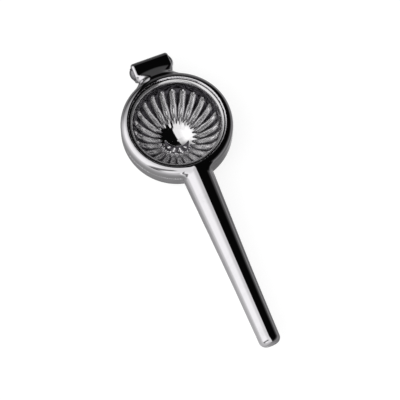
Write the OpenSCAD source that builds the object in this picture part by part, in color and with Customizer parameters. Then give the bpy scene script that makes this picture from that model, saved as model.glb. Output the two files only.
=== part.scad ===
// Lime squeezer: two cast arms on one hinge pin, a fluted press cup in the
// upper arm and a perforated strainer bowl in the lower arm, drawn closed.
// X runs along the hinge pin, +Y from the handles towards the hinge, +Z up.
// The origin is the centre of the strainer bowl's flat foot.

/* [Cast rings] */
// Diameter of the opening inside each ring's lip
lip_d = 65; // [58:0.5:80]
// Width of each ring's crown, from the lip to the outer edge
crown_w = 5.5; // [5:0.1:7]
// Height of the upper ring from the joint line to its crown
ring_h = 9.5; // [9.3:0.1:11]
// How far below its crown the upper ring's outer wall turns straight
crown_drop = 5.1; // [4:0.1:6]
// Depth of the lower ring, which is taller, from the joint line to its underside
base_h = 15.5; // [14:0.1:17]
// How far above its underside the lower ring's outer wall starts to curve in
base_drop = 11.5; // [8:0.1:12.5]
// Rounding of the lip's inner edge
lip_round = 0.7; // [0.5:0.1:1.2]
// Gap between the two arms when closed
joint_gap = 0.3; // [0.3:0.1:0.8]

/* [Handles] */
// Length of the handles from the ring's outer wall to their rounded end
handle_length = 126; // [90:0.5:160]
// Half width of the closed handle where it leaves the ring
handle_root_r = 10.5; // [8:0.1:10.6]
// Half width of the closed handle at its waist
handle_waist_r = 7.9; // [6:0.1:8]
// Half width of the closed handle just before its rounded end
handle_tip_r = 7.1; // [5.5:0.1:8]
// Rounding of the handle's end
handle_end_round = 3.4; // [3:0.1:5]
// Height of the closed handle as a share of its width
handle_flat = 0.88; // [0.8:0.01:0.95]

/* [Hinge] */
// Free space between the ring and the hinge barrel
hinge_stand = 2.5; // [2.5:0.1:8]
// Outer radius of the hinge barrel
barrel_r = 7; // [7:0.1:8.5]
// Width of the hinge block between the pin caps
block_w = 27; // [24:0.5:30]
// Rounding of the hinge block's edges
block_round = 1.8; // [1:0.1:2.4]
// Radius of the concave corners between block and ring
block_fillet = 7; // [3:0.5:9]
// Diameter of the hinge pin
pin_d = 5; // [4:0.1:5]
// Width of the lower arm's tongue
tongue_w = 12; // [10:0.5:14]
// Wall of the hood over the tongue
hood_wall = 2; // [1.6:0.1:2.2]
// Height of the hood's back edge over the joint line
hood_back_lift = 2; // [1.5:0.1:3]
// Wall of the bush in the tongue
bush_wall = 1; // [0.8:0.1:1.2]
// Thickness of each thrust washer
washer_t = 0.5; // [0.4:0.1:0.8]
// Radius of the domed pin caps
cap_r = 4.6; // [3.8:0.1:5.5]
// Height of the domed pin caps
cap_h = 2.2; // [1.8:0.1:3]
// How deep the pin sits in each cap
cap_socket = 1; // [0.8:0.1:1.2]
// Radial running clearance of the hinge pin
pin_clearance = 0.05; // [0.03:0.01:0.08]
// Clearance around the tongue inside the hood
hood_clearance = 0.3; // [0.25:0.05:0.4]
// Clearance at each face of the thrust washers
washer_clearance = 0.05; // [0.03:0.01:0.1]

/* [Bowls] */
// Wall of both sheet steel bowls
sheet_t = 1; // [0.8:0.1:1.2]
// How far both bowls' flanges reach behind the lip
flange_lap = 1.5; // [1:0.1:1.6]
// Clearance around each flange in its ring
flange_clearance = 0.2; // [0.15:0.05:0.3]
// Width of the cup's flange seen inside the lip
cup_margin = 2.6; // [2.4:0.1:4]
// Height of the cup's rim over the joint line
cup_rim_z = 8.5; // [8:0.1:9]
// Height of the cup's straight collar, above its round part
cup_collar = 2.1; // [1:0.1:4]
// Number of flutes around the cup
flute_count = 24; // [18:1:26]
// Radius of each flute's rib
flute_r = 2; // [1.8:0.1:2]
// Height of each rib near its outer end
flute_lift = 1.2; // [1:0.1:1.3]
// Angle below the rim at which the ribs start
flute_start = 21; // [18:1:26]
// Angle below the rim at which the ribs have run out
flute_end = 73; // [70:1:76]
// Extra radius of the strainer's round part over the cup's
strainer_side_gap = 1.1; // [1:0.1:1.2]
// Drop of the strainer's round part below the cup's
strainer_drop = 3.2; // [3:0.1:5]
// Depth of the strainer's rim below the joint line
strainer_rim_drop = 3; // [2.8:0.1:3.6]
// Radius of the strainer bowl's flat foot
foot_r = 10; // [8:0.5:11]
// Diameter of the drain holes
drain_d = 2.4; // [1.8:0.1:2.6]

/* [Snap rings] */
// Thickness of each snap ring
snap_t = 1.2; // [1:0.1:1.4]
// Width of each snap ring's band
snap_band = 2; // [1.6:0.1:2.2]
// Depth of the groove that holds each snap ring
snap_groove = 0.8; // [0.6:0.1:1]
// Width of the gap between a snap ring's ends
snap_mouth = 9; // [6:0.5:14]

/* [Hidden] */
$fn = 96;
far = 400;
lip_r = lip_d / 2;
ring_r = lip_r + crown_w;
handle_reach = ring_r + handle_length;
handle_waist = ring_r + 0.6 * handle_length;
hinge_reach = ring_r + hinge_stand + barrel_r;
flange_r = lip_r + flange_lap;
pocket_r = flange_r + flange_clearance;
groove_r = pocket_r + snap_groove;
cup_r = lip_r - cup_margin;
cup_ball_z = cup_rim_z - cup_collar;
strainer_r = cup_r + sheet_t + strainer_side_gap;
strainer_ball_z = cup_ball_z - strainer_drop;
foot_z = strainer_ball_z - sqrt(pow(strainer_r + sheet_t, 2) - pow(foot_r, 2));
pin_r = pin_d / 2;
bush_r = pin_r + pin_clearance + bush_wall;
block_half = block_w / 2;
tongue_half = tongue_w / 2;
pocket_half = tongue_half + washer_t + 2 * washer_clearance;
hood_r = barrel_r - hood_wall;
tongue_r = hood_r - hood_clearance;
chrome = [0.86, 0.87, 0.89];
steel = [0.78, 0.79, 0.80];
brass = [0.80, 0.66, 0.36];
nylon = [0.93, 0.92, 0.88];

// Lifts a piece drawn about the joint line so that the foot is at height zero
module on_foot() {
    translate([0, 0, -foot_z]) children();
}

// Points on an arc of an ellipse with half widths rx and ry
function oval_arc(c, rx, ry, from, to, steps) =
    [for (i = [0 : steps]) let (a = from + (to - from) * i / steps) [c[0] + rx * cos(a), c[1] + ry * sin(a)]];

// Points on a circular arc
function arc(c, r, from, to, steps = 8) = oval_arc(c, r, r, from, to, steps);

// Keeps what lies above the joint line
module upper_half() {
    intersection() {
        children();
        translate([-far / 2, -far / 2, joint_gap / 2]) cube([far, far, far]);
    }
}

// Half section of a ring: a straight outer wall that curves over a crown close to the lip
module ring_section(height, drop) {
    crest = lip_r + lip_round;
    polygon(concat(
        [[lip_r, joint_gap / 2], [ring_r, joint_gap / 2]],
        oval_arc([crest, height - drop], ring_r - crest, drop, 0, 90, 12),
        arc([crest, height - lip_round], lip_round, 90, 180)));
}

// Pocket under the lip for a flange at height flange_z, with a groove for its snap ring
module flange_pocket(flange_z) {
    cylinder(h = flange_z, r = pocket_r);
    translate([0, 0, flange_z - sheet_t - snap_t]) cylinder(h = snap_t, r = groove_r);
}

// Oval bar along -Y with a quicker taper up to its waist and a rounded end
module handle_bar() {
    scale([1, 1, handle_flat]) rotate([90, 0, 0]) rotate_extrude() polygon(concat(
        [[0, lip_r], [handle_root_r, lip_r], [handle_root_r, ring_r], [handle_waist_r, handle_waist]],
        arc([handle_tip_r - handle_end_round, handle_reach - handle_end_round], handle_end_round, 0, 80),
        [[0, handle_reach]]));
}

// Concave web between one side of the hinge block and the ring, in plan
module block_web_plan() {
    fillet_y = sqrt(pow(ring_r + block_fillet, 2) - pow(block_half + block_fillet, 2));
    centre = [block_half + block_fillet, fillet_y];
    difference() {
        polygon([[0, lip_r], centre * (lip_r / norm(centre)), centre, [block_half, fillet_y], [0, fillet_y]]);
        translate(centre) circle(r = block_fillet);
    }
}

// Hinge block: barrel and neck with all long edges rounded
module hinge_block() {
    neck_len = hinge_reach - lip_r;
    round_x = block_half - block_round;
    intersection() {
        union() {
            translate([-block_half, hinge_reach, 0]) rotate([0, 90, 0]) cylinder(h = block_w, r = barrel_r);
            translate([-block_half, lip_r, 0]) cube([block_w, neck_len, barrel_r]);
        }
        translate([0, hinge_reach + barrel_r + 1, 0]) rotate([90, 0, 0]) linear_extrude(far) polygon(concat(
            arc([round_x, barrel_r - block_round], block_round, 0, 90),
            arc([-round_x, barrel_r - block_round], block_round, 90, 180),
            arc([-round_x, block_round - barrel_r], block_round, 180, 270),
            arc([round_x, block_round - barrel_r], block_round, 270, 360)));
        translate([0, 0, -barrel_r]) linear_extrude(2 * barrel_r) polygon(concat(
            [[-block_half, 0], [block_half, 0]],
            arc([round_x, hinge_reach + barrel_r - block_round], block_round, 0, 90),
            arc([-round_x, hinge_reach + barrel_r - block_round], block_round, 90, 180)));
    }
}

// Cylinder along the hinge axis, centred on the YZ plane
module hinge_rod(r, half_width) {
    translate([-half_width, hinge_reach, 0]) rotate([0, 90, 0]) cylinder(h = 2 * half_width, r = r);
}

// Upper casting: ring, half handle and the hooded hinge block with its two ears
module press_arm() {
    color(chrome) on_foot() difference() {
        union() {
            upper_half() {
                union() {
                    rotate_extrude() ring_section(ring_h, crown_drop);
                    handle_bar();
                }
            }
            upper_half() for (side = [0, 1]) mirror([side, 0, 0])
                linear_extrude(barrel_r - block_round / 2) block_web_plan();
            hinge_block_upper();
        }
        flange_pocket(cup_rim_z);
        hinge_rod(pin_r, block_half + 1);
        hinge_rod(hood_r, pocket_half);
        // Room for the tongue and its web below the hood
        translate([-pocket_half, lip_r, -far / 2]) cube([2 * pocket_half, far, far / 2 + joint_gap / 2]);
        translate([-pocket_half, hinge_reach, -far / 2]) cube([2 * pocket_half, far, far / 2 + hood_back_lift]);
    }
}

// The block's neck stops at the joint line while its barrel goes all the way round
module hinge_block_upper() {
    difference() {
        hinge_block();
        translate([-far / 2, 0, -far]) cube([far, hinge_reach - barrel_r, far + joint_gap / 2]);
        cylinder(h = far, r = lip_r + lip_round);
    }
}

// Lower casting: ring, half handle and the tongue that the hinge pin passes through
module bowl_arm() {
    tongue_back = hinge_reach - 1;
    color(chrome) on_foot() difference() {
        union() {
            mirror([0, 0, 1]) upper_half() {
                union() {
                    rotate_extrude() ring_section(base_h, base_drop);
                    handle_bar();
                }
            }
            hinge_rod(tongue_r, tongue_half);
            translate([-tongue_half, lip_r, -barrel_r])
                cube([tongue_w, tongue_back - lip_r, barrel_r - joint_gap / 2]);
        }
        mirror([0, 0, 1]) flange_pocket(strainer_rim_drop + sheet_t);
        hinge_rod(bush_r, tongue_half + 1);
    }
}

// Centre of the circle through three points of a plane
function circle_centre(p, q, s) =
    let (d = 2 * (p[0] * (q[1] - s[1]) + q[0] * (s[1] - p[1]) + s[0] * (p[1] - q[1])))
    [((p * p) * (q[1] - s[1]) + (q * q) * (s[1] - p[1]) + (s * s) * (p[1] - q[1])) / d,
     ((p * p) * (s[0] - q[0]) + (q * q) * (p[0] - s[0]) + (s * s) * (q[0] - p[0])) / d];

// Solid round bowl: a ball of radius r about ball_z, cut off flat at top_z
module ball_bowl(r, ball_z, top_z) {
    intersection() {
        translate([0, 0, ball_z]) sphere(r = r);
        translate([0, 0, min(top_z, ball_z) - far]) cylinder(h = far, r = far);
    }
    if (top_z > ball_z) translate([0, 0, ball_z]) cylinder(h = top_z - ball_z, r = r);
}

// Tubes along every rib of the cup: each rib line is a circle that sinks into the wall at its end
module rib_tubes() {
    middle = (flute_start + flute_end) / 2;
    crest_r = cup_r + flute_r - flute_lift;
    sunk_r = cup_r + flute_r;
    p = crest_r * [cos(flute_start), -sin(flute_start)];
    q = crest_r * [cos(middle), -sin(middle)];
    s = sunk_r * [cos(flute_end), -sin(flute_end)];
    c = circle_centre(p, q, s);
    start = atan2(p[1] - c[1], p[0] - c[0]);
    end = atan2(s[1] - c[1], s[0] - c[0]);
    for (i = [0 : flute_count - 1]) rotate([0, 0, 90 + i * 360 / flute_count]) {
        translate([c[0], 0, cup_ball_z + c[1]]) rotate([90, 0, 0]) rotate([0, 0, end])
            rotate_extrude(angle = start - end) translate([norm(p - c), 0]) circle(r = flute_r, $fn = 32);
        translate([p[0], 0, cup_ball_z + p[1]]) sphere(r = flute_r, $fn = 32);
    }
}

// Flat sheet flange of a bowl, its top at height z
module bowl_flange(z, inner_r) {
    translate([0, 0, z - sheet_t]) difference() {
        cylinder(h = sheet_t, r = flange_r);
        translate([0, 0, -1]) cylinder(h = sheet_t + 2, r = inner_r);
    }
}

// Press cup: drawn sheet steel with a flange on top and ribs inside
module press_cup() {
    color(steel) on_foot() {
        difference() {
            ball_bowl(cup_r + sheet_t, cup_ball_z, cup_rim_z);
            ball_bowl(cup_r, cup_ball_z, cup_rim_z + 1);
        }
        intersection() {
            ball_bowl(cup_r + sheet_t, cup_ball_z, cup_rim_z);
            rib_tubes();
        }
        bowl_flange(cup_rim_z, cup_r);
    }
}

// Rings of drain holes: each has a radius and a number of holes
drain_rings = [[7.5, 12], [12.5, 24], [17.5, 24]];

// Strainer bowl: sheet steel with a flange on top, a flat foot and drain holes
module strainer_bowl() {
    rim_z = -strainer_rim_drop;
    rim_r = sqrt(pow(strainer_r, 2) - pow(strainer_ball_z - rim_z, 2));
    color(steel) on_foot() difference() {
        union() {
            intersection() {
                ball_bowl(strainer_r + sheet_t, strainer_ball_z, rim_z);
                translate([0, 0, foot_z]) cylinder(h = far, r = far);
            }
            bowl_flange(rim_z, rim_r);
        }
        intersection() {
            ball_bowl(strainer_r, strainer_ball_z, rim_z + 1);
            translate([0, 0, foot_z + sheet_t]) cylinder(h = far, r = far);
        }
        for (ring = drain_rings) for (i = [0 : ring[1] - 1])
            rotate([0, 0, (i + 0.5) * 360 / ring[1]]) translate([ring[0], 0, foot_z - 1])
                cylinder(h = -foot_z - strainer_rim_drop, d = drain_d, $fn = 24);
    }
}

// Open ring of spring steel that snaps into a groove, its top at height z
module snap_ring(z) {
    outer_r = groove_r - flange_clearance;
    translate([0, 0, z - snap_t]) difference() {
        cylinder(h = snap_t, r = outer_r);
        translate([0, 0, -1]) cylinder(h = snap_t + 2, r = outer_r - snap_band);
        translate([-snap_mouth / 2, 0, -1]) cube([snap_mouth, far, snap_t + 2]);
    }
}

module cup_snap_ring() {
    color(steel) on_foot() snap_ring(cup_rim_z - sheet_t);
}

module strainer_snap_ring() {
    color(steel) on_foot() mirror([0, 0, 1]) snap_ring(strainer_rim_drop);
}

// Hinge pin: pressed into the ears, running in the tongue's bush
module hinge_pin() {
    color(steel) on_foot() hinge_rod(pin_r, block_half + cap_socket);
}

// Domed cap pressed over the pin's end, on the side given by its sign
module pin_cap(side) {
    dome_r = (cap_r * cap_r + cap_h * cap_h) / (2 * cap_h);
    color(chrome) on_foot() translate([side * block_half, hinge_reach, 0]) rotate([0, side * 90, 0]) difference() {
        intersection() {
            translate([0, 0, cap_h - dome_r]) sphere(r = dome_r);
            cylinder(h = cap_h, r = cap_r);
        }
        translate([0, 0, -1]) cylinder(h = 1 + cap_socket, r = pin_r);
    }
}

module left_pin_cap() {
    pin_cap(-1);
}

module right_pin_cap() {
    pin_cap(1);
}

// Sleeve in the tongue's bore
module hinge_bush() {
    color(brass) on_foot() difference() {
        hinge_rod(bush_r, tongue_half);
        hinge_rod(pin_r + pin_clearance, tongue_half + 1);
    }
}

// Thrust washer between tongue and ear, on the side given by its sign
module hinge_washer(side) {
    color(nylon) on_foot() translate([side * (tongue_half + washer_clearance), hinge_reach, 0]) rotate([0, side * 90, 0])
        difference() {
            cylinder(h = washer_t, r = tongue_r);
            translate([0, 0, -1]) cylinder(h = washer_t + 2, r = pin_r + pin_clearance);
        }
}

module left_washer() {
    hinge_washer(-1);
}

module right_washer() {
    hinge_washer(1);
}

press_arm();
bowl_arm();
press_cup();
strainer_bowl();
cup_snap_ring();
strainer_snap_ring();
hinge_pin();
left_pin_cap();
right_pin_cap();
hinge_bush();
left_washer();
right_washer();
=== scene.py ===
# %% [markdown]
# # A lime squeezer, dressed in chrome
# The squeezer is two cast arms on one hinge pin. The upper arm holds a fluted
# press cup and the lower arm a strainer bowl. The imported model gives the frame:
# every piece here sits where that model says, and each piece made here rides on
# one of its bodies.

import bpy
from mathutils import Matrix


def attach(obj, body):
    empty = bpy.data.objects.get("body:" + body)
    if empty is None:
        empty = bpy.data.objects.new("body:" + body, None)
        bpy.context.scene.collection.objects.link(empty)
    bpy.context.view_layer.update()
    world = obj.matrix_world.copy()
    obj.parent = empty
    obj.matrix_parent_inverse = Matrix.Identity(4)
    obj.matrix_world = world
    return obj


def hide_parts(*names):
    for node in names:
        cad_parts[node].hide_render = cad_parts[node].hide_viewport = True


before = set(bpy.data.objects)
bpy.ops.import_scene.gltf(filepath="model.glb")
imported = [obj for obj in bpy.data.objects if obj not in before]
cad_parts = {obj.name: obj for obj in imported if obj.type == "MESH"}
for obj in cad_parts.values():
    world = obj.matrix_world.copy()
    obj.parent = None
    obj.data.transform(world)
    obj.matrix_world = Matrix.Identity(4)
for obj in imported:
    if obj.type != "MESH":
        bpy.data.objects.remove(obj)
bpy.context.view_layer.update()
print("nodes:", ", ".join(sorted(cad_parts)))

# %% [markdown]
# ## Measures
# All lengths are in millimetres about the joint line, the plane where the two
# arms meet. One helper lifts the points onto the foot and turns them to metres.

import bpy
import numpy as np
from mathutils import Matrix

MM = 0.001
foot_drop = 28.2484          # joint line above the foot
lip_r = 32.5                 # opening inside the lip
ring_r = 38.0                # outer wall of the rings
ring_h, base_h = 9.5, 15.5   # upper ring above the joint line, lower ring below it
lip_round = 0.8              # inner edge of the lip
crown_drop, base_drop = 5.1, 11.5   # part of that height over which the wall curves in
joint_half = 0.12            # half of the gap between the arms
joint_round = 0.25           # softened edge along the joint
root_r, waist_r, tip_r = 10.5, 7.9, 7.1   # handle at the ring, at its waist and near its end
handle_flat = 0.90           # height of the closed handle as a share of its width
waist = 113.6                # distance of the waist from the ring's middle
reach = 164.0                # end of the handles
end_round = 3.4              # corner at the handle's end
hinge_y = 47.5               # pin axis
barrel_r = 7.0               # clearance kept about the pin
block_half = 13.5            # half of the block's width
block_back, block_top, block_corner = 6.0, 6.5, 3.5   # block about the pin, in side view
block_round = 1.8            # long edges of the block
neck_round = 8.5             # what the neck's edges are rounded more than that
neck_near, neck_far = 4.0, 9.5   # distances from the pin between which they swell
inner_end, neck_end = 26.0, 20.0   # handle and neck begin inside the ring
web_fillet = 7.0             # between block and ring
fillet_run = 5.0             # distance beyond the crest over which fillets grow
tongue_half, tongue_r = 6.0, 4.7   # tongue of the lower arm and its barrel
room_half, core_r, room_top = 6.6, 5.0, 2.0   # room for it between the ears
pocket_r, groove_r = 34.2, 35.0   # pocket of the flanges and groove of the snap rings
groove_half = 0.6            # half of the groove's height
upper_pocket, upper_groove = 8.5, 6.9   # top of the pocket and middle of the groove
lower_pocket, lower_groove = 4.0, 2.4   # the same below the joint line
print(f"ring {2 * ring_r:.0f} mm across, {ring_h + base_h:.1f} mm high, handle end at {reach:.0f} mm")

# %% [markdown]
# ## Turning numbers into a mesh
# A mesh is only a list of points and a list of faces. Both come from numpy as
# whole arrays, and `foreach_set` hands them over in one go. The normals are
# handed over too, because polished metal shows every wrong one.

# %% Mesh helper
def to_frame(points):
    """Millimetres about the joint line, lifted by foot_drop and turned to metres."""
    return (np.asarray(points, float) + [0.0, 0.0, foot_drop]) * MM


def make_mesh(name, points, faces, normals=None):
    """One object at the origin from points (n, 3) in mm and a list of face arrays,
    each (m, 3) or (m, 4)."""
    points = to_frame(points)
    corners = np.concatenate([f.ravel() for f in faces]).astype(np.int32)
    counts = np.concatenate([np.full(len(f), f.shape[1]) for f in faces])
    mesh = bpy.data.meshes.new(name)
    mesh.vertices.add(len(points))
    mesh.vertices.foreach_set("co", points.astype(np.float32).ravel())
    mesh.loops.add(len(corners))
    mesh.loops.foreach_set("vertex_index", corners)
    mesh.polygons.add(len(counts))
    mesh.polygons.foreach_set("loop_start", (np.cumsum(counts) - counts).astype(np.int32))
    mesh.update(calc_edges=True)
    mesh.validate()
    mesh.polygons.foreach_set("use_smooth", np.ones(len(mesh.polygons), bool))
    if normals is not None:
        mesh.normals_split_custom_set_from_vertices(np.asarray(normals, float))
    piece = bpy.data.objects.new(name, mesh)
    bpy.context.scene.collection.objects.link(piece)
    print(f"{name}: {len(mesh.vertices)} points, {len(mesh.polygons)} faces")
    return piece


# %% [markdown]
# ## Cast metal as a distance
# On a casting the ring, the handle and the hinge block melt into each other, so
# no single grid follows them. Another way is to write down, for any point in
# space, how far it is outside the metal. Two small rules then do what a mould
# maker does: `join` fills an inside corner with a fillet, `trim` rounds an edge.

# %% Distance rules
def join(a, b, r):
    """Both solids, filleted: where a and b are both nearer than r, the corner is
    replaced by a circle, r minus the long side of the triangle (r - a), (r - b)."""
    return np.maximum(r, np.minimum(a, b)) - np.hypot(np.maximum(r - a, 0), np.maximum(r - b, 0))


def trim(a, b, r):
    """What both solids share, with its outer edge rounded to radius r."""
    return np.minimum(-r, np.maximum(a, b)) + np.hypot(np.maximum(r + a, 0), np.maximum(r + b, 0))


def smooth_step(low, high, t):
    """0 below low, 1 above high, and an even S between them."""
    t = np.clip((t - low) / (high - low), 0, 1)
    return t * t * (3 - 2 * t)


# %% [markdown]
# ### The ring
# Seen in section, the ring is highest close to the lip and falls away outwards
# along a quarter of an ellipse, into a wall that is upright at the joint line.

# %% Ring and handle
crest = lip_r + lip_round


def disc(x, y, z, height, drop):
    """Filled ring: the outer side is an upright wall below height - drop and a
    quarter ellipse above it. The distance is (k - 1) * k / |gradient of k|, where k is
    the length of the point scaled by the two half axes."""
    rx, rz = ring_r - crest, drop
    u = np.maximum(np.hypot(x, y) - crest, 0) / rx
    w = np.maximum(z - (height - drop), 0) / rz
    k = np.hypot(u, w)
    slope = np.hypot(u / rx, w / rz)
    oval = np.where(slope > 1e-6, (k - 1) * k / np.maximum(slope, 1e-6), -min(rx, rz))
    inside = np.maximum(np.hypot(x, y) - ring_r, z - height)
    return np.where((u > 0) | (w > 0), np.maximum(oval, inside), inside)


def handle(x, y, z):
    """Oval bar along -Y: half its width is the curve through root_r, waist_r and
    tip_r (a smooth bend of two straight tapers), the height is that times
    handle_flat, and a shallow dome closes the end with a rounded corner."""
    z = z / handle_flat
    along = -y
    first = (root_r - waist_r) / (waist - ring_r)
    second = (waist_r - tip_r) / (reach - end_round - waist)
    off, soft, end_bulge = along - waist, 18.0, 60.0
    bent = 0.5 * (off + np.sqrt(off * off + soft * soft))
    radius = waist_r - first * off + (first - second) * bent
    side = np.hypot(x, z) - np.clip(radius, 5, root_r)
    end = along - reach + (x * x + z * z) / end_bulge
    return np.maximum(trim(side, end, end_round), inner_end - along)


# %% [markdown]
# ### The hinge block
# The upper arm carries the block: a barrel round the pin with a neck that runs
# into the ring. The lower arm only has a narrow tongue between the two ears.

# %% Hinge block
def block(x, y, z, low):
    """Flattened barrel round the pin (a rectangle with round corners in side view) plus
    a neck back into the ring above the height low. The long edges at both sides are
    rounded by block_round, and more where the neck meets the ring."""
    qy = np.abs(y - hinge_y) - (block_back - block_corner)
    qz = np.abs(z) - (block_top - block_corner)
    corner = np.hypot(np.maximum(qy, 0), np.maximum(qz, 0))
    barrel = corner + np.minimum(np.maximum(qy, qz), 0) - block_corner
    neck = np.maximum(np.maximum(z - block_top, low - z), np.maximum(y - hinge_y, neck_end - y))
    edge = block_round + neck_round * smooth_step(hinge_y - neck_near, hinge_y - neck_far, y)
    return trim(np.minimum(barrel, neck), np.abs(x) - block_half, edge)


def casting(x, y, z, height, drop):
    """Disc and handle joined. The fillet is wide at the handle's sides, narrow along
    its top, and runs out towards the crest so that nothing rises above the ring."""
    sideways = np.abs(x) / np.maximum(np.hypot(x, z), 1e-6)
    outside = smooth_step(crest, crest + fillet_run, np.hypot(x, y))
    radius = 0.15 + outside * (0.7 + 6.0 * sideways ** 2 * smooth_step(2.0, 8.0, z))
    return join(disc(x, y, z, height, drop), handle(x, y, z), radius)


def upper_arm(x, y, z):
    """Disc, handle and block joined and kept below the ring's top, then cut by the
    joint plane, the bore, the flange pocket with its groove, and the tongue's room."""
    rho = np.hypot(x, y)
    body = trim(casting(x, y, z, ring_h, crown_drop), joint_half - z, joint_round)
    ears = block(x, y, z, joint_half)
    outside = smooth_step(crest, crest + fillet_run, rho)
    body = join(body, ears, web_fillet * (0.1 + 0.9 * outside))
    below = np.where(y > hinge_y - barrel_r, -1e3, joint_half - z)
    body = np.maximum(np.maximum(body, below), z - ring_h)
    body = trim(body, lip_r - rho, lip_round)
    pocket = np.maximum(rho - pocket_r, z - upper_pocket)
    groove = np.maximum(rho - groove_r, np.abs(z - upper_groove) - groove_half)
    body = np.maximum(body, -np.minimum(pocket, groove))
    room = np.abs(x) - room_half
    core = np.maximum(np.hypot(y - hinge_y, z) - core_r, room)
    front = np.maximum(np.maximum(z - joint_half, room), lip_r - y)
    back = np.maximum(np.maximum(z - room_top, room), hinge_y - y)
    return np.maximum(body, -np.minimum(np.minimum(core, front), back))


def lower_arm(x, y, z):
    """The same disc and handle turned upside down, and the tongue with its barrel."""
    rho = np.hypot(x, y)
    h = -z
    body = casting(x, y, h, base_h, base_drop)
    barrel = np.hypot(y - hinge_y, z) - tongue_r
    web = np.maximum(np.maximum(h - barrel_r, joint_half - h),
                     np.maximum(y - (hinge_y - 1), neck_end - y))
    tongue = trim(np.minimum(barrel, web), np.abs(x) - tongue_half, 0.4)
    body = trim(body, joint_half - h, joint_round)
    body = np.maximum(join(body, tongue, 1.6), np.where(y > 42, -1e3, joint_half - h))
    body = trim(body, lip_r - rho, lip_round)
    pocket = np.maximum(rho - pocket_r, h - lower_pocket)
    groove = np.maximum(rho - groove_r, np.abs(h - lower_groove) - groove_half)
    return np.maximum(body, -np.minimum(pocket, groove))


# %% [markdown]
# ### A net over the distance
# To mesh the casting, space is cut into small cubes. Each cube that the surface
# crosses gets one point, and neighbours are tied into four sided faces. The
# points then slide along the slope of the distance until it is zero, and the
# same slope gives the normals.

# %% Surface net
def slope(field, p, step=0.02):
    """Slope of the distance at the points p, by central differences."""
    out = np.empty_like(p)
    for axis in range(3):
        d = np.zeros(3)
        d[axis] = step
        out[:, axis] = (field(*(p + d).T) - field(*(p - d).T)) / (2 * step)
    return out


def surface_net(field, low, high, cell):
    """Points, faces and normals of the surface where field is zero inside a box."""
    axes = [np.arange(a, b + cell, cell) for a, b in zip(low, high)]
    grid = np.meshgrid(*axes, indexing="ij")
    value = field(*grid)
    inside = value < 0
    count = np.zeros(tuple(n - 1 for n in inside.shape), np.int32)
    centre = np.zeros(count.shape + (3,))
    hits = np.zeros(count.shape)
    for i in (0, 1):
        for j in (0, 1):
            for k in (0, 1):
                count += inside[i:i + count.shape[0], j:j + count.shape[1], k:k + count.shape[2]]
    for axis in range(3):
        a = [slice(None)] * 3
        b = [slice(None)] * 3
        a[axis], b[axis] = slice(0, -1), slice(1, None)
        v0, v1 = value[tuple(a)], value[tuple(b)]
        crossing = (v0 < 0) != (v1 < 0)
        t = np.where(crossing, v0 / np.where(crossing, v0 - v1, 1), 0)
        others = [n for n in range(3) if n != axis]
        for i in (0, 1):
            for j in (0, 1):
                pick = [slice(None)] * 3
                pick[others[0]] = slice(i, i + count.shape[others[0]])
                pick[others[1]] = slice(j, j + count.shape[others[1]])
                c, tt = crossing[tuple(pick)], t[tuple(pick)]
                hits += c
                centre[..., axis] += np.where(c, tt, 0)
                centre[..., others[0]] += np.where(c, i, 0)
                centre[..., others[1]] += np.where(c, j, 0)
    active = (count > 0) & (count < 8)
    number = np.full(count.shape, -1, np.int64)
    number[active] = np.arange(active.sum())
    where = np.argwhere(active)
    points = np.array([a[0] for a in axes]) + (where + centre[active] / hits[active][:, None]) * cell
    faces = []
    for axis in range(3):
        a = [slice(1, -1)] * 3
        b = [slice(1, -1)] * 3
        a[axis], b[axis] = slice(0, -1), slice(1, None)
        start, end = inside[tuple(a)], inside[tuple(b)]
        for flip, edge in ((False, start & ~end), (True, end & ~start)):
            base = np.argwhere(edge)
            base += [0 if n == axis else 1 for n in range(3)]
            u, w = (axis + 1) % 3, (axis + 2) % 3
            du, dw = np.eye(3, dtype=int)[u], np.eye(3, dtype=int)[w]
            quad = np.stack([number[tuple((base - s).T)] for s in (0 * du, du, du + dw, dw)], 1)
            faces.append(quad[:, ::-1] if flip else quad)
    faces = np.concatenate(faces)
    for _ in range(4):
        g = slope(field, points)
        f = field(*points.T)
        length = np.maximum((g * g).sum(1), 0.2)
        points = points - np.clip(f / length, -cell, cell)[:, None] * g
    g = slope(field, points)
    return points, [faces], g / np.maximum(np.linalg.norm(g, axis=1), 1e-9)[:, None]


cell = 0.62   # edge of the cubes, mm
press_arm = make_mesh("press_arm_cast", *surface_net(
    upper_arm, (-39, -168.3, -8.3), (39, 57, 10.5), cell))
bowl_arm = make_mesh("bowl_arm_cast", *surface_net(
    lower_arm, (-39, -168.3, -16.7), (39, 57, 6.3), cell))
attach(press_arm, "press_half")
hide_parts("press_arm")
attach(bowl_arm, "bowl_half")
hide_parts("bowl_arm")

# %% [markdown]
# ## The press cup
# The cup is drawn from sheet steel, so it is one thin skin turned about the
# upright axis: a profile goes from the middle of the bottom up the inside, over
# the flange and back down the outside. Round it stand 24 ribs. A rib is a push
# of the skin towards the middle of the ball, the same on both sides, so that
# each rib inside is a groove outside, just as a press leaves it.

# %% Profile helpers
def bend(centre, r, start, end, steps):
    """Points on a circle about centre, from angle start to end in degrees."""
    a = np.radians(np.linspace(start, end, steps))
    return np.stack([centre[0] + r * np.cos(a), centre[1] + r * np.sin(a)], 1)


def spin(name, rows, axis_ends):
    """Skin from an array (rows, columns, 3) that closes on itself sideways, with a
    fan of triangles from each end of the axis to the first and the last row."""
    count, columns = rows.shape[:2]
    number = np.arange(count * columns).reshape(count, columns)
    right = np.roll(number, -1, axis=1)
    quads = np.stack([number[:-1], right[:-1], right[1:], number[1:]], -1).reshape(-1, 4)
    first, last = count * columns, count * columns + 1
    fans = np.concatenate([
        np.stack([np.full(columns, first), right[0], number[0]], 1),
        np.stack([np.full(columns, last), number[-1], right[-1]], 1)])
    points = np.concatenate([rows.reshape(-1, 3), axis_ends])
    return make_mesh(name, points, [quads, fans])


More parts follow.
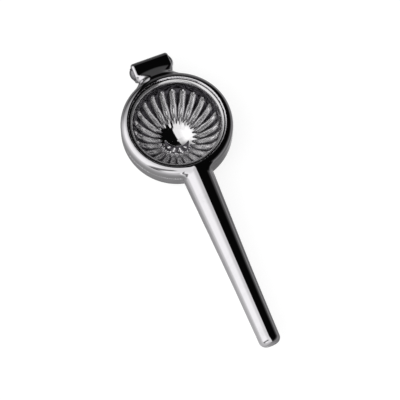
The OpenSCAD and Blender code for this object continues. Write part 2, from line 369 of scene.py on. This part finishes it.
# %% Cup measures and its ribs
cup_r, cup_ball_z, cup_rim_z, sheet_t = 29.9, 6.4, 8.5, 1.0
flange_r = 34.0
rib_count, rib_half, rib_lift = 24, 2.3, 1.5
rib_start, rib_end = 21.0, 73.0
dish_r, dish_bend = 8.6, 1 / 18 - 1 / 29.9   # the bottom is pressed in a little deeper


def rib_push(turn, below):
    """How far the skin is pushed in at the angle turn round the axis and the angle
    below the rim (radians). The rib is a round bar: sqrt(r^2 - u^2) less what lies
    under the skin, where u is the distance to its middle line or to its blunt start.
    Towards the bottom the bar gets thinner with the space between the ribs and sinks."""
    pitch = 2 * np.pi / rib_count
    off = (turn - np.pi / 2 + pitch / 2) % pitch - pitch / 2
    radius = cup_r * np.cos(below)
    before = np.maximum(np.radians(rib_start) - below, 0) * cup_r * 0.5
    half = np.minimum(rib_half, 0.46 * pitch * radius)
    u = np.hypot(radius * off, before) / half
    sink = smooth_step(np.radians(rib_end + 1), np.radians(rib_end - 22), below)
    bar = rib_lift * half / rib_half * sink * (1 - u * u)
    soft = 0.2
    push = 0.5 * (bar + np.sqrt(bar * bar + soft * soft))
    return push * smooth_step(0, 0.02, push) * (below > 0)


# %% Cup skin
def cup_rows(columns, steps):
    """Rows of the cup: the profile (radius, height) turned round the axis, and every
    point of the round part moved towards the ball's centre by rib_push. The bottom is
    lower than the ball by (dish_r^2 - radius^2) * dish_bend / 2. The second array is
    the satin mask of the ribs and the rim, and the third the share free of painted
    shade: 1 on the ribs and the bottom, less on the rim, and 0 in the grooves, where
    painted shade darkens the metal."""
    turn = np.linspace(0, 2 * np.pi, columns, endpoint=False)
    low = np.radians(np.linspace(-88.5, 0, steps))

    def ball(r):
        deep = (dish_r ** 2 - (r * np.cos(low)) ** 2) * dish_bend / 2
        deep = 0.5 * (deep + np.hypot(deep, 0.06))
        return np.stack([r * np.cos(low), cup_ball_z + r * np.sin(low) - deep], 1)

    outer = cup_r + sheet_t
    profile = np.concatenate([
        ball(cup_r), bend((cup_r + 2.0, cup_rim_z - 2.0), 2.0, 180, 90, 15), [[33.2, cup_rim_z]],
        bend((flange_r - 0.3, cup_rim_z - 0.3), 0.3, 90, 0, 4),
        bend((flange_r - 0.3, cup_rim_z - sheet_t + 0.3), 0.3, 0, -90, 4),
        bend((cup_r + 2.0, cup_rim_z - 2.0), 1.0, 90, 180, 7),
        ball(outer)[::-1]])
    rows = np.zeros((len(profile), columns, 3))
    rows[..., 0] = profile[:, :1] * np.cos(turn)
    rows[..., 1] = profile[:, :1] * np.sin(turn)
    rows[..., 2] = profile[:, 1:]
    centre = np.array([0, 0, cup_ball_z])
    below = np.maximum(np.arctan2(cup_ball_z - profile[:, 1], profile[:, 0]), 0)
    push = rib_push(turn[None, :], below[:, None])
    arm = rows - centre
    rows -= push[..., None] * arm / np.linalg.norm(arm, axis=2, keepdims=True)
    bottom = smooth_step(np.radians(rib_end - 20), np.radians(rib_end - 2), below)[:, None]
    rim = smooth_step(cup_ball_z, cup_ball_z + 0.8, profile[:, 1])[:, None]
    edge = smooth_step(31.0, 31.6, profile[:, 0])[:, None]
    ribs = smooth_step(0.08, 0.55, push / rib_lift)
    # painted shade: where this share is below 1 the colour is mixed towards a dark tint, fully between
    # the ribs and on the band above them, by a quarter on the rim
    polish = np.maximum(np.maximum(ribs, bottom), np.maximum(0.75 * rim, edge))
    return rows, np.maximum(ribs * (1 - bottom), rim * (1 - edge)), polish


cup_net, cup_ribs, cup_unshaded = cup_rows(rib_count * 16, 96)
bottom_z = cup_ball_z - cup_r - dish_r ** 2 * dish_bend / 2
cup = spin("press_cup_skin", cup_net, [[0, 0, bottom_z], [0, 0, bottom_z - sheet_t]])
for label, mask, at_axis in (("ribs", cup_ribs, 0), ("polish", cup_unshaded, 1)):
    layer = cup.data.attributes.new(label, "FLOAT", "POINT")
    layer.data.foreach_set("value", np.append(mask.ravel(), [at_axis, at_axis]).astype(np.float32))
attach(cup, "press_half")
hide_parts("press_cup")

# %% [markdown]
# ## The pin caps
# Each end of the hinge pin wears a low dome. It is a short profile spun round
# the pin: a flat foot, a softened rim and a cap of a ball.

# %% Pin caps
cap_r, cap_h = 4.6, 2.2


def pin_cap(name, side):
    """Profile (distance from the pin axis, height off the block) spun round X, the
    dome being a ball through the rim and the top; side is -1 or 1."""
    turn = np.linspace(0, 2 * np.pi, 96, endpoint=False)
    dome_r = (cap_r ** 2 + cap_h ** 2) / (2 * cap_h)
    edge = 0.35
    half = np.degrees(np.arcsin((cap_r - edge * 0.6) / dome_r))
    dome = bend((0, cap_h - dome_r), dome_r, 90 - 0.04 * half, 90 - half, 24)
    lip = bend((cap_r - edge, edge), edge, 50, 0, 5)
    profile = np.concatenate([dome, lip, [[cap_r, 0.0], [cap_r - 1.5, 0.0]]])
    rows = np.zeros((len(profile), len(turn), 3))
    rows[..., 0] = side * (block_half + profile[:, 1:])
    rows[..., 1] = hinge_y + side * profile[:, :1] * np.cos(turn)
    rows[..., 2] = profile[:, :1] * np.sin(turn)
    return spin(name, rows, [[side * (block_half + cap_h), hinge_y, 0], [side * block_half, hinge_y, 0]])


for label, side in (("left", -1), ("right", 1)):
    dome = pin_cap(f"{label}_cap_dome", side)
    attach(dome, "press_half")
    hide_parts(f"{label}_pin_cap")

# %% [markdown]
# ## Shared surface effects
# Polished metal is never quite even. Two effects are used on every finish, so
# each is a node group: `fine_marks` gives hairline scratches, as a height and as
# a mask, and `handling` gives smudges as a mask from 0 to 1.

# %% Node helpers
def node(tree, kind, **settings):
    """A node of that kind with its settings; names with a space are sockets."""
    made = tree.nodes.new(kind)
    for key, value in settings.items():
        if key in made.inputs:
            made.inputs[key].default_value = value
        else:
            setattr(made, key, value)
    return made


def new_group(name, inputs, outputs, vector=None):
    """A shader node group with float inputs {name: value}, float outputs and, if
    named, one vector input."""
    group = bpy.data.node_groups.new(name, "ShaderNodeTree")
    if vector:
        group.interface.new_socket(name=vector, in_out="INPUT", socket_type="NodeSocketVector")
    for key, value in inputs.items():
        socket = group.interface.new_socket(name=key, in_out="INPUT", socket_type="NodeSocketFloat")
        socket.default_value = value
    for key in outputs:
        group.interface.new_socket(name=key, in_out="OUTPUT", socket_type="NodeSocketFloat")
    return group, group.nodes.new("NodeGroupInput"), group.nodes.new("NodeGroupOutput")


def chain(tree, *sockets):
    """Links sockets in pairs: from, to, from, to."""
    for a, b in zip(sockets[::2], sockets[1::2]):
        tree.links.new(a, b)


def sum_of(tree, a, b, operation="ADD", value=None):
    """A Math node on two sockets, or on a socket and a number."""
    made = node(tree, "ShaderNodeMath", operation=operation)
    tree.links.new(a, made.inputs[0])
    if value is None:
        tree.links.new(b, made.inputs[1])
    else:
        made.inputs[1].default_value = value
    return made.outputs[0]


# %% Fine marks
marks, g_in, g_out = new_group("fine_marks", {"Scratches": 1.0}, ["Height", "Lines"])
place = node(marks, "ShaderNodeTexCoord")
total = None
for turn, stretch in (((0.3, 0.1, 0.5), 900.0), ((0.2, 1.2, 2.1), 1300.0)):
    mapping = node(marks, "ShaderNodeMapping")
    mapping.inputs["Rotation"].default_value = turn
    mapping.inputs["Scale"].default_value = (stretch, stretch * 0.03, stretch * 0.03)
    noise = node(marks, "ShaderNodeTexNoise", Scale=1.0, Detail=2.0, Roughness=0.6)
    line = node(marks, "ShaderNodeMapRange")
    line.inputs["From Min"].default_value = 0.66
    line.inputs["From Max"].default_value = 0.78
    chain(marks, place.outputs["Object"], mapping.inputs["Vector"],
          mapping.outputs["Vector"], noise.inputs["Vector"],
          noise.outputs["Fac"], line.inputs["Value"])
    total = line.outputs["Result"] if total is None else sum_of(marks, total, line.outputs["Result"])
cut = sum_of(marks, total, g_in.outputs["Scratches"], "MULTIPLY")
chain(marks, sum_of(marks, cut, None, "MULTIPLY", -0.02), g_out.inputs["Height"],
      total, g_out.inputs["Lines"])
print("group:", marks.name)

# %% Handling
handled, h_in, h_out = new_group("handling", {"Size": 60.0}, ["Smudge"])
place = node(handled, "ShaderNodeTexCoord")
cloud = node(handled, "ShaderNodeTexNoise", Detail=5.0, Roughness=0.65, Distortion=0.6)
patch = node(handled, "ShaderNodeMapRange")
patch.inputs["From Min"].default_value = 0.45
patch.inputs["From Max"].default_value = 0.75
chain(handled, place.outputs["Object"], cloud.inputs["Vector"],
      h_in.outputs["Size"], cloud.inputs["Scale"],
      cloud.outputs["Fac"], patch.inputs["Value"],
      patch.outputs["Result"], h_out.inputs["Smudge"])
print("group:", handled.name)

# %% [markdown]
# ## The finishes
# Chrome plate, drawn steel, spring steel and bronze differ only in colour, in
# how glossy they are and in how much the marks show. One function builds
# them, with the shader itself and its plain values in the material.

# %% Metal finish
def metal(name, tint, worn_tint, rough, rough_worn, scratches=1.0, bump=0.02, size=60.0, metallic=1.0):
    """A polished metal: smudges mix tint towards worn_tint and rough towards
    rough_worn; the height from fine_marks feeds one Bump node, bump mm high."""
    material = bpy.data.materials.new(name)
    material.use_nodes = True
    tree = material.node_tree
    shader = tree.nodes["Principled BSDF"]
    shader.inputs["Metallic"].default_value = metallic
    fine = node(tree, "ShaderNodeGroup", node_tree=marks)
    fine.inputs["Scratches"].default_value = scratches
    hand = node(tree, "ShaderNodeGroup", node_tree=handled)
    hand.inputs["Size"].default_value = size
    colour = node(tree, "ShaderNodeMix", data_type="RGBA")
    colour.inputs[6].default_value = (*tint, 1)
    colour.inputs[7].default_value = (*worn_tint, 1)
    gloss = node(tree, "ShaderNodeMapRange")
    gloss.inputs["To Min"].default_value = rough
    gloss.inputs["To Max"].default_value = rough_worn
    height = node(tree, "ShaderNodeBump", Strength=1.0, Distance=bump * MM)
    faint = sum_of(tree, fine.outputs["Lines"], None, "MULTIPLY", 0.25)
    both = sum_of(tree, hand.outputs["Smudge"], faint)
    chain(tree, hand.outputs["Smudge"], colour.inputs["Factor"],
          colour.outputs[2], shader.inputs["Base Color"],
          both, gloss.inputs["Value"], gloss.outputs["Result"], shader.inputs["Roughness"],
          fine.outputs["Height"], height.inputs["Height"],
          height.outputs["Normal"], shader.inputs["Normal"])
    print("finish:", name)
    return material


chrome = metal("polished_chrome", (0.77, 0.755, 0.78), (0.70, 0.69, 0.71), 0.02, 0.07)
pressed = metal("pressed_steel", (0.93, 0.92, 0.93), (0.86, 0.85, 0.86), 0.05, 0.08,
                scratches=0.3, bump=0.006, size=90.0)
steel = metal("drawn_steel", (0.72, 0.71, 0.725), (0.64, 0.635, 0.64), 0.04, 0.10,
              scratches=0.4, size=90.0)
cap_steel = metal("cap_steel", (0.42, 0.41, 0.43), (0.36, 0.355, 0.37), 0.06, 0.12,
                  scratches=0.3, size=150.0)
spring = metal("spring_steel", (0.55, 0.55, 0.56), (0.42, 0.42, 0.43), 0.18, 0.34, size=120.0)
ground = metal("ground_steel", (0.66, 0.66, 0.67), (0.55, 0.55, 0.55), 0.10, 0.22, size=150.0)
bronze = metal("bearing_bronze", (0.72, 0.47, 0.22), (0.52, 0.33, 0.16), 0.22, 0.40, size=150.0)
nylon = metal("pale_nylon", (0.86, 0.85, 0.80), (0.76, 0.74, 0.68), 0.42, 0.60,
              metallic=0.0, size=180.0)

# %% Grooves of the cup
# The polishing wheel rides on the ribs and leaves them satin, so that they scatter
# part of the light. Painted shade darkens the grooves between them, the plain band
# above them and, a little, the rim: there the colour is mixed towards a dark tint.
tree = pressed.node_tree
shader = tree.nodes["Principled BSDF"]
unshaded_node = node(tree, "ShaderNodeAttribute", attribute_name="polish")
satin = node(tree, "ShaderNodeAttribute", attribute_name="ribs")
# the dark colour in this line is painted shade for the grooves, the band above the ribs and part of the
# rim
scatter_share, satin_rough, painted_groove_shade = 0.17, 0.07, (0.075, 0.072, 0.082, 1)
scatter = sum_of(tree, sum_of(tree, satin.outputs["Fac"], None, "MULTIPLY", -scatter_share),
                 None, "ADD", 1.0)
rougher = sum_of(tree, shader.inputs["Roughness"].links[0].from_socket,
                 sum_of(tree, satin.outputs["Fac"], None, "MULTIPLY", satin_rough))
colour = node(tree, "ShaderNodeMix", data_type="RGBA")
colour.inputs[6].default_value = painted_groove_shade
chain(tree, unshaded_node.outputs["Fac"], colour.inputs["Factor"],
      shader.inputs["Base Color"].links[0].from_socket, colour.inputs[7],
      colour.outputs[2], shader.inputs["Base Color"],
      scatter, shader.inputs["Metallic"], rougher, shader.inputs["Roughness"])
print("grooves darkened in:", pressed.name)

# %% Each piece takes its finish
finishes = {
    chrome: [press_arm, bowl_arm],
    cap_steel: [bpy.data.objects["left_cap_dome"], bpy.data.objects["right_cap_dome"]],
    pressed: [cup],
    steel: [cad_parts["strainer_bowl"]],
    spring: [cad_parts["cup_snap_ring"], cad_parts["strainer_snap_ring"]],
    ground: [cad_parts["hinge_pin"]],
    bronze: [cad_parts["hinge_bush"]],
    nylon: [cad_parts["left_washer"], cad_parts["right_washer"]],
}
for finish, pieces in finishes.items():
    for piece in pieces:
        piece.data.materials.clear()
        piece.data.materials.append(finish)
    print(finish.name, "on", ", ".join(p.name for p in pieces))

# %% [markdown]
# ## What the metal sees
# Chrome has no colour of its own: it shows the room. The left half of the room is
# a white tent with one dark gap in it towards the front, and the right half is
# black with a dim glow near the horizon and a faint patch at the back. One node
# group draws this room from the direction alone, and a second one paints light and
# shade onto the table top from the place that a ray meets, as a glow of the floor:
# a painted shadow near the squeezer, lighter away from it on the left, dim on the
# right, with a painted bright patch close to the ring's wall at the back right.

# %% Room
def along_axis(tree, vector, axis):
    """How far a vector reaches along an axis: their dot product."""
    made = node(tree, "ShaderNodeVectorMath", operation="DOT_PRODUCT")
    made.inputs[1].default_value = axis
    tree.links.new(vector, made.inputs[0])
    return made.outputs["Value"]


def fade(tree, value, low, high, out_low=0.0, out_high=1.0):
    """A smooth change from out_low at low to out_high at high."""
    made = node(tree, "ShaderNodeMapRange", interpolation_type="SMOOTHSTEP")
    made.inputs["From Min"].default_value = low
    made.inputs["From Max"].default_value = high
    made.inputs["To Min"].default_value = out_low
    made.inputs["To Max"].default_value = out_high
    tree.links.new(value, made.inputs["Value"])
    return made.outputs["Result"]


def product(tree, *values):
    """All the values multiplied."""
    total = values[0]
    for value in values[1:]:
        total = sum_of(tree, total, value, "MULTIPLY")
    return total


def less(tree, value, share):
    """1 minus a share of the value."""
    return sum_of(tree, sum_of(tree, value, None, "MULTIPLY", -share), None, "ADD", 1.0)


room, r_in, r_out = new_group("room", {}, ["Light"], vector="Direction")
ray = r_in.outputs["Direction"]
to_x, to_y, to_z = (along_axis(room, ray, axis) for axis in ((1, 0, 0), (0, 1, 0), (0, 0, 1)))
# the gap lies between two edges of y and ends before the right half begins
gap = product(room, fade(room, to_y, -0.34, -0.50), fade(room, to_y, -0.76, -0.60),
              fade(room, to_x, -0.20, -0.30))
# the tent is a little duller at the back near the middle
dull = product(room, fade(room, to_y, 0.15, 0.30), fade(room, to_x, -0.50, -0.12))
# the tent ends at the middle, and fades to the right, the horizon and the back
tent = product(room, fade(room, along_axis(room, ray, (1, 0.15, 0)), 0.05, 0.10, 1, 0),
               fade(room, to_x, -0.60, -0.15, 1.45, 1.12), fade(room, to_z, -0.05, 0.36, 0.55, 1),
               fade(room, to_y, 0.45, 0.95, 1, 0.07), less(room, gap, 0.83), less(room, dull, 0.25))
glow = product(room, fade(room, to_z, -0.10, 0.45, 0.18, 0), fade(room, to_x, 0.15, 0.50))
back = product(room, fade(room, to_y, 0.55, 0.80, 0, 0.08), fade(room, to_x, 0.03, 0.08))
lit = sum_of(room, sum_of(room, sum_of(room, tent, glow), back), None, "ADD", 0.003)
chain(room, lit, r_out.inputs["Light"])
print("group:", room.name)

# %% Table top
table, t_in, t_out = new_group("table", {}, ["Light"], vector="Place")
spot = t_in.outputs["Place"]
to_x, to_y = along_axis(table, spot, (1, 0, 0)), along_axis(table, spot, (0, 1, 0))
level = node(table, "ShaderNodeVectorMath", operation="LENGTH")
chain(table, spot, level.inputs[0])
away = level.outputs["Value"]
# painted contact shadow: the table is darker near the squeezer, by exp(-7.7 * distance in metres)
decay = sum_of(table, sum_of(table, away, None, "MULTIPLY", -7.7), None, "EXPONENT", 0)
lit = product(table, sum_of(table, sum_of(table, decay, None, "MULTIPLY", -0.63), None, "ADD", 0.56),
              fade(table, to_x, -0.04, 0.04, 1, 0),
              fade(table, along_axis(table, spot, (1, 0.9, 0)), -0.08, 0.05, 1, 0.1))
# painted bright patch on the table close to the ring's wall at the back right
gleam = product(table, fade(table, away, 0.06, 0.10, 0.9, 0),
                fade(table, to_x, 0.02, 0.04), fade(table, to_y, -0.04, 0.02))
# painted faint light on the table far off to the right
far_right = product(table, fade(table, away, 0.10, 0.20, 0, 0.08), fade(table, to_x, 0.0, 0.08))
lit = sum_of(table, sum_of(table, sum_of(table, lit, gleam), far_right), None, "ADD", 0.17)
chain(table, lit, t_out.inputs["Light"])
print("group:", table.name)

# %% World
world = bpy.data.worlds.new("studio")
bpy.context.scene.world = world
world.use_nodes = True
tree = world.node_tree
tree.nodes.clear()
ray = node(tree, "ShaderNodeTexCoord")
around = node(tree, "ShaderNodeGroup", node_tree=room)
path = node(tree, "ShaderNodeLightPath")
seen = node(tree, "ShaderNodeMix", data_type="FLOAT")
seen.inputs[3].default_value = 1.0
sky = node(tree, "ShaderNodeBackground")
out = node(tree, "ShaderNodeOutputWorld")
chain(tree, ray.outputs["Generated"], around.inputs["Direction"],
      path.outputs["Is Camera Ray"], seen.inputs["Factor"], around.outputs["Light"], seen.inputs[2],
      seen.outputs[0], sky.inputs["Strength"], sky.outputs[0], out.inputs["Surface"])
print("world:", world.name)

# %% [markdown]
# ## Floor and lamp
# The floor is plain and pale. To the camera it is lifted to white by a little
# light of its own, and what is left of its real shading keeps the shadow. To
# glossy rays it glows instead with the table's painted shade and light, and to
# other rays it is a plain pale matt. From below it is see-through, so that the
# underside can be looked at.

# %% Floor
size = 3.0
floor = bpy.data.objects.new("floor", bpy.data.meshes.new("floor"))
corners = [(-size, -size, 0), (size, -size, 0), (size, size, 0), (-size, size, 0)]
floor.data.from_pydata(corners, [], [(0, 1, 2, 3)])
bpy.context.scene.collection.objects.link(floor)
paper = bpy.data.materials.new("pale_floor")
paper.use_nodes = True
tree = paper.node_tree
tree.nodes.clear()
path = node(tree, "ShaderNodeLightPath")
matt = node(tree, "ShaderNodeBsdfDiffuse")
matt.inputs["Color"].default_value = (0.8, 0.8, 0.8, 1)
thin = node(tree, "ShaderNodeBsdfDiffuse")
thin.inputs["Color"].default_value = (0.22, 0.22, 0.22, 1)
glow = node(tree, "ShaderNodeEmission", Strength=0.86)
lifted = node(tree, "ShaderNodeAddShader")
place = node(tree, "ShaderNodeTexCoord")
top = node(tree, "ShaderNodeGroup", node_tree=table)
# glow with the table's painted shade and light, which only glossy rays see
shown = node(tree, "ShaderNodeEmission")
to_metal = node(tree, "ShaderNodeMixShader")
to_camera = node(tree, "ShaderNodeMixShader")
facing = node(tree, "ShaderNodeNewGeometry")
clear = node(tree, "ShaderNodeBsdfTransparent")
both_sides = node(tree, "ShaderNodeMixShader")
out = node(tree, "ShaderNodeOutputMaterial")
chain(tree, thin.outputs[0], lifted.inputs[0], glow.outputs[0], lifted.inputs[1],
      place.outputs["Object"], top.inputs["Place"], top.outputs["Light"], shown.inputs["Strength"],
      path.outputs["Is Glossy Ray"], to_metal.inputs["Fac"],
      matt.outputs[0], to_metal.inputs[1], shown.outputs[0], to_metal.inputs[2],
      path.outputs["Is Camera Ray"], to_camera.inputs["Fac"],
      to_metal.outputs[0], to_camera.inputs[1], lifted.outputs[0], to_camera.inputs[2],
      facing.outputs["Backfacing"], both_sides.inputs["Fac"], to_camera.outputs[0], both_sides.inputs[1],
      clear.outputs[0], both_sides.inputs[2], both_sides.outputs[0], out.inputs["Surface"])
floor.data.materials.append(paper)
print(f"floor: {2 * size:.0f} m square, {paper.name}")

# %% Lamp
lamp = bpy.data.lights.new("soft_screen", "AREA")
lamp.shape, lamp.size, lamp.energy = "SQUARE", 0.9, 9.0
lamp_object = bpy.data.objects.new("soft_screen", lamp)
lamp_object.location = (-0.45, -0.45, 1.1)
lamp_object.visible_glossy = False
bpy.context.scene.collection.objects.link(lamp_object)
print("lamp:", lamp.name)

# %% [markdown]
# ## Camera
# The camera stands about a metre away and looks down at 69 degrees, a little
# from the left. Its three axes are written as the columns of its matrix.

# %% Camera
camera_right = np.array([0.92688709, -0.37505608, 0.01460358])
camera_back = np.array([-0.14875981, -0.33135667, 0.9317045])
camera_up = np.cross(camera_back, camera_right)
camera_place = (-0.15023026, -0.37743485, 0.93551355)
camera = bpy.data.objects.new("camera", bpy.data.cameras.new("camera"))
bpy.context.scene.collection.objects.link(camera)
pose = np.eye(4)
pose[:3, 0], pose[:3, 1], pose[:3, 2], pose[:3, 3] = camera_right, camera_up, camera_back, camera_place
camera.matrix_world = Matrix(pose.tolist())
camera.data.sensor_width = 36.0
camera.data.lens = 132.27854
camera.data.clip_start, camera.data.clip_end = 0.01, 20.0
bpy.context.scene.camera = camera
bpy.context.scene.view_settings.view_transform = "Standard"
print(f"camera at {camera_place}, lens {camera.data.lens:.1f} mm")
